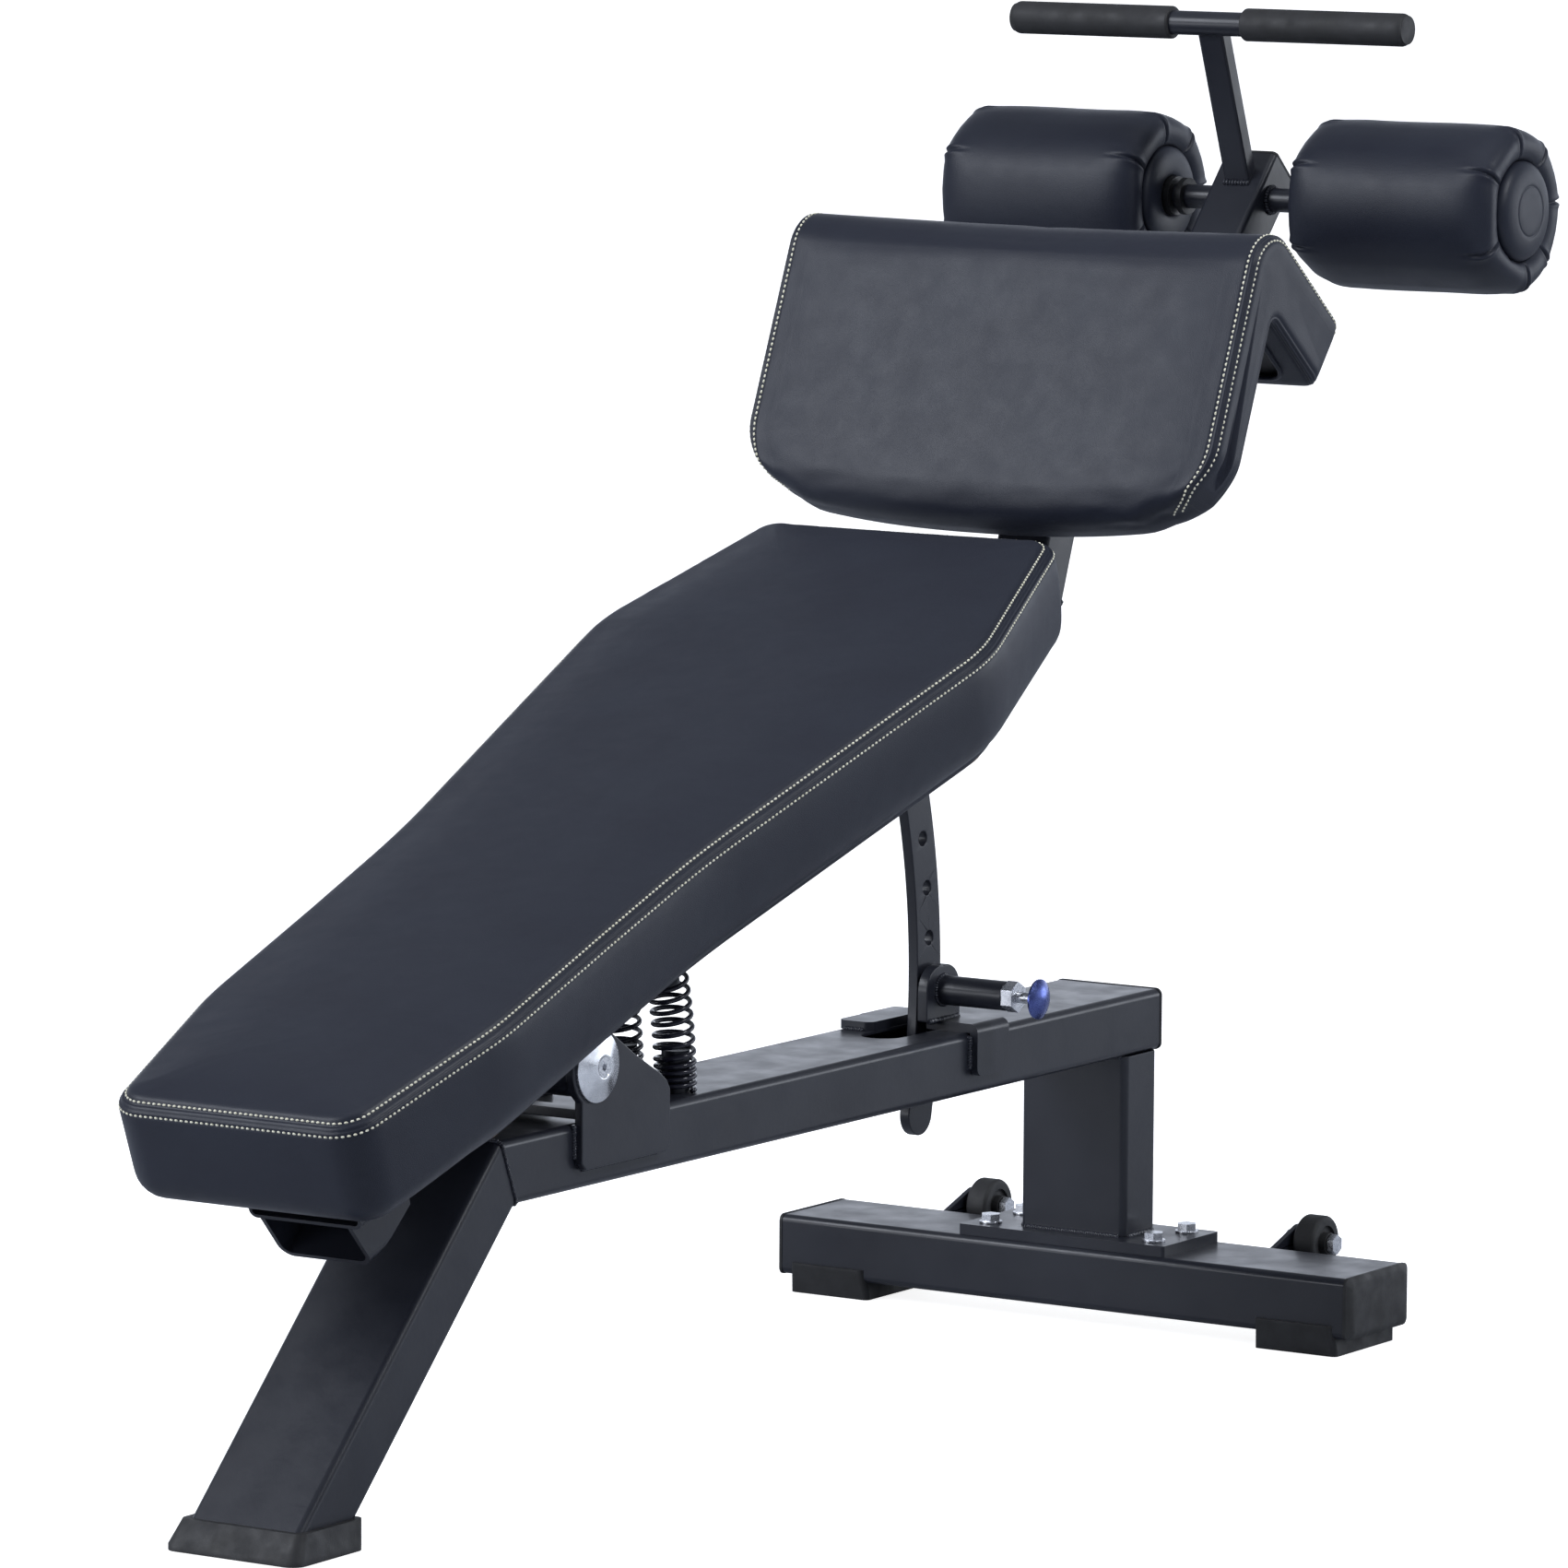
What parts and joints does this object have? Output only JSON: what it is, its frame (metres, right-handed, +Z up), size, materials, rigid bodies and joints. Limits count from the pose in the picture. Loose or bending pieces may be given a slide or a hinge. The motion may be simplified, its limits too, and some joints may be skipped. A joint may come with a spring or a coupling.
{
  "type": "decline sit up bench",
  "caption": "Adjustable decline bench with padded back board, thigh pad, ankle rollers and hand bar, tilting on a steel frame with a pull-pin adjuster and assist springs",
  "frame": {"origin": "on the floor, centre of the underside of the front boot", "axes": "+X right, +Y from the front boot towards the rear foot, +Z up"},
  "size_m": [0.604, 1.6473, 1.1764],
  "materials": {
    "frame_paint": "semi-gloss dark grey powder coat",
    "black_rubber": "matte moulded rubber",
    "black_plastic": "matte black",
    "zinc_plate": "zinc plated",
    "turned_aluminium": "turned and polished",
    "blue_anodised": "blue anodised",
    "bronze": "plain bearing bronze",
    "black_spring": "gloss black spring enamel",
    "upholstery": "blue-black coated fabric (leatherette) with pale stitching",
    "plywood": "plain plywood"
  },
  "bodies": {
    "frame": {"main_beam": "frame_paint", "front_leg": "frame_paint", "rear_post": "frame_paint", "flange_plate": "frame_paint", "base_cross_tube": "frame_paint", "beam_end_cap": "black_rubber", "base_end_caps": "black_rubber", "front_boot": "black_rubber", "base_feet": "black_rubber", "flange_bolts": "zinc_plate", "flange_washers": "zinc_plate", "flange_nuts": "zinc_plate", "wheel_brackets": "frame_paint", "wheel_axles": "zinc_plate", "wheel_nuts": "zinc_plate", "pivot_ear_left": "frame_paint", "pivot_ear_right": "frame_paint", "ear_cross_plate": "frame_paint", "pivot_shaft": "zinc_plate", "pivot_caps": "turned_aluminium", "pivot_screws": "zinc_plate", "saddle_bracket": "frame_paint", "pin_lug": "frame_paint", "pin_barrel": "frame_paint", "barrel_nut": "zinc_plate", "pin_spring": "zinc_plate", "spring_lower_posts": "frame_paint", "assist_spring_left": "black_spring", "assist_spring_right": "black_spring"},
    "bench": {"pad_spine": "frame_paint", "head_end_bracket": "frame_paint", "pivot_hub": "frame_paint", "pivot_bushes": "bronze", "spring_upper_posts": "frame_paint", "sector_plate": "frame_paint", "main_pad_board": "plywood", "main_pad": "upholstery", "pad_bolts": "zinc_plate", "riser_tube": "frame_paint", "knee_bracket": "frame_paint", "knee_pad_board": "black_plastic", "knee_pad": "upholstery", "roller_arm": "frame_paint", "arm_end_cap": "black_rubber", "handle_upright": "frame_paint", "handle_bar": "frame_paint", "grip_left": "black_rubber", "grip_right": "black_rubber", "roller_shaft": "frame_paint", "shaft_washers": "black_plastic"},
    "pull_pin": {"lock_pin": "zinc_plate", "pin_knob": "blue_anodised"},
    "roller_left": {"roller_core_left": "black_plastic", "roller_pad_left": "upholstery", "roller_discs_left": "upholstery"},
    "roller_right": {"roller_core_right": "black_plastic", "roller_pad_right": "upholstery", "roller_discs_right": "upholstery"},
    "wheel_left": {"wheel_left": "black_rubber"},
    "wheel_right": {"wheel_right": "black_rubber"}
  },
  "joints": [
    {"name": "bench_tilt", "type": "hinge", "parent": "frame", "child": "bench", "pos_m": [0, 0.3742, 0.3465], "axis": [1, 0, 0], "range_deg": [-17, 8.5], "deforming": ["assist_spring_left", "assist_spring_right"]},
    {"name": "pin_slide", "type": "slide", "parent": "frame", "child": "pull_pin", "axis": [1, 0, 0], "range_m": [-0.0135, 0]},
    {"name": "roller_left_spin", "type": "hinge", "parent": "bench", "child": "roller_left", "pos_m": [-0.185, 1.52019, 0.99897], "axis": [1, 0, 0], "continuous": true},
    {"name": "roller_right_spin", "type": "hinge", "parent": "bench", "child": "roller_right", "pos_m": [0.185, 1.52019, 0.99897], "axis": [1, 0, 0], "continuous": true},
    {"name": "wheel_left_spin", "type": "hinge", "parent": "frame", "child": "wheel_left", "pos_m": [-0.174, 1.37, 0.069], "axis": [1, 0, 0], "continuous": true},
    {"name": "wheel_right_spin", "type": "hinge", "parent": "frame", "child": "wheel_right", "pos_m": [0.174, 1.37, 0.069], "axis": [1, 0, 0], "continuous": true}
  ]
}
